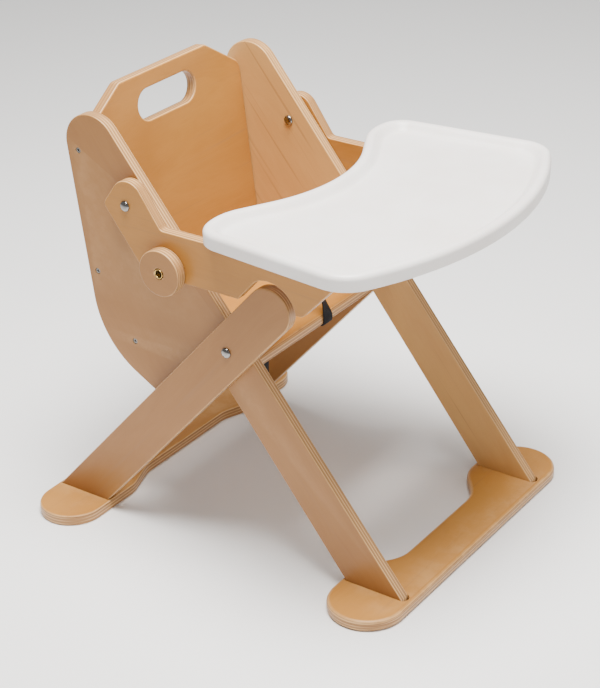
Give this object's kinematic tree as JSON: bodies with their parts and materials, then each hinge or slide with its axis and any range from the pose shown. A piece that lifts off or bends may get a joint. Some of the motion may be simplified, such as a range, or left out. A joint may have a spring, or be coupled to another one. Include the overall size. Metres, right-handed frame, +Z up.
{
  "type": "baby high chair",
  "caption": "Low folding high chair for a small child: plywood side panels, crossed legs on two foot boards, swing-up armrests with a moulded tray.",
  "frame": {"origin": "on the floor at the middle of the whole chair's footprint, tray down and legs open", "axes": "+X towards the seated child's left, -Y to the front (the way the child faces), +Z up"},
  "size_m": [0.5108, 0.5678, 0.5654],
  "materials": {
    "birch_plywood": "clear satin lacquer over birch plywood, ply layers showing on every edge",
    "white_plastic": "moulded warm white, soft semi-gloss",
    "chrome": "polished domed heads",
    "zinc_steel": "bright zinc plating",
    "brass": "turned brass, lightly dulled",
    "black_webbing": "woven polypropylene webbing"
  },
  "bodies": {
    "seat_frame": {"arm_pivot_bolt_left": "chrome", "arm_pivot_bolt_right": "chrome", "arm_sleeve_nut_left": "chrome", "arm_sleeve_nut_right": "chrome", "arm_washer_left": "zinc_steel", "arm_washer_right": "zinc_steel", "back_lower_screw_left": "zinc_steel", "back_lower_screw_right": "zinc_steel", "back_panel": "birch_plywood", "back_upper_screw_left": "zinc_steel", "back_upper_screw_right": "zinc_steel", "crotch_strap": "black_webbing", "front_foot_board": "birch_plywood", "front_foot_screw_1_left": "zinc_steel", "front_foot_screw_1_right": "zinc_steel", "front_foot_screw_2_left": "zinc_steel", "front_foot_screw_2_right": "zinc_steel", "knob_stud_left": "zinc_steel", "knob_stud_right": "zinc_steel", "lap_strap": "black_webbing", "leg_pivot_bolt_left": "chrome", "leg_pivot_bolt_right": "chrome", "leg_sleeve_nut_left": "chrome", "leg_sleeve_nut_right": "chrome", "leg_washer_left": "zinc_steel", "leg_washer_right": "zinc_steel", "seat_board": "birch_plywood", "seat_front_screw_left": "zinc_steel", "seat_front_screw_right": "zinc_steel", "seat_rear_screw_left": "zinc_steel", "seat_rear_screw_right": "zinc_steel", "side_panel_left": "birch_plywood", "side_panel_right": "birch_plywood"},
    "rear_leg_frame": {"rear_foot_board": "birch_plywood", "rear_foot_screw_1_left": "zinc_steel", "rear_foot_screw_1_right": "zinc_steel", "rear_foot_screw_2_left": "zinc_steel", "rear_foot_screw_2_right": "zinc_steel", "rear_leg_left": "birch_plywood", "rear_leg_right": "birch_plywood"},
    "tray_arms": {"armrest_left": "birch_plywood", "armrest_right": "birch_plywood", "tray": "white_plastic", "tray_screw_1_left": "zinc_steel", "tray_screw_1_right": "zinc_steel", "tray_screw_2_left": "zinc_steel", "tray_screw_2_right": "zinc_steel"},
    "knob_left": {"knob_disc_left": "birch_plywood", "knob_insert_left": "brass"},
    "knob_right": {"knob_disc_right": "birch_plywood", "knob_insert_right": "brass"}
  },
  "joints": [
    {"name": "tray_swing", "type": "hinge", "parent": "seat_frame", "child": "tray_arms", "pos_m": [0, 0.13484, 0.4543], "axis": [-1, 0, 0], "range_deg": [0, 100]},
    {"name": "rear_leg_fold", "type": "hinge", "parent": "seat_frame", "child": "rear_leg_frame", "pos_m": [0, -0.01016, 0.295], "axis": [-1, 0, 0], "range_deg": [0, 55]},
    {"name": "knob_left_turn", "type": "hinge", "parent": "seat_frame", "child": "knob_left", "pos_m": [0.196, 0.07614, 0.3846], "axis": [1, 0, 0], "range_deg": [0, 360]},
    {"name": "knob_right_turn", "type": "hinge", "parent": "seat_frame", "child": "knob_right", "pos_m": [-0.196, 0.07614, 0.3846], "axis": [-1, 0, 0], "range_deg": [0, 360]}
  ],
  "couplings": [
    {"joint": "rear_leg_fold", "follows": "tray_swing", "ratio": 0.55}
  ]
}
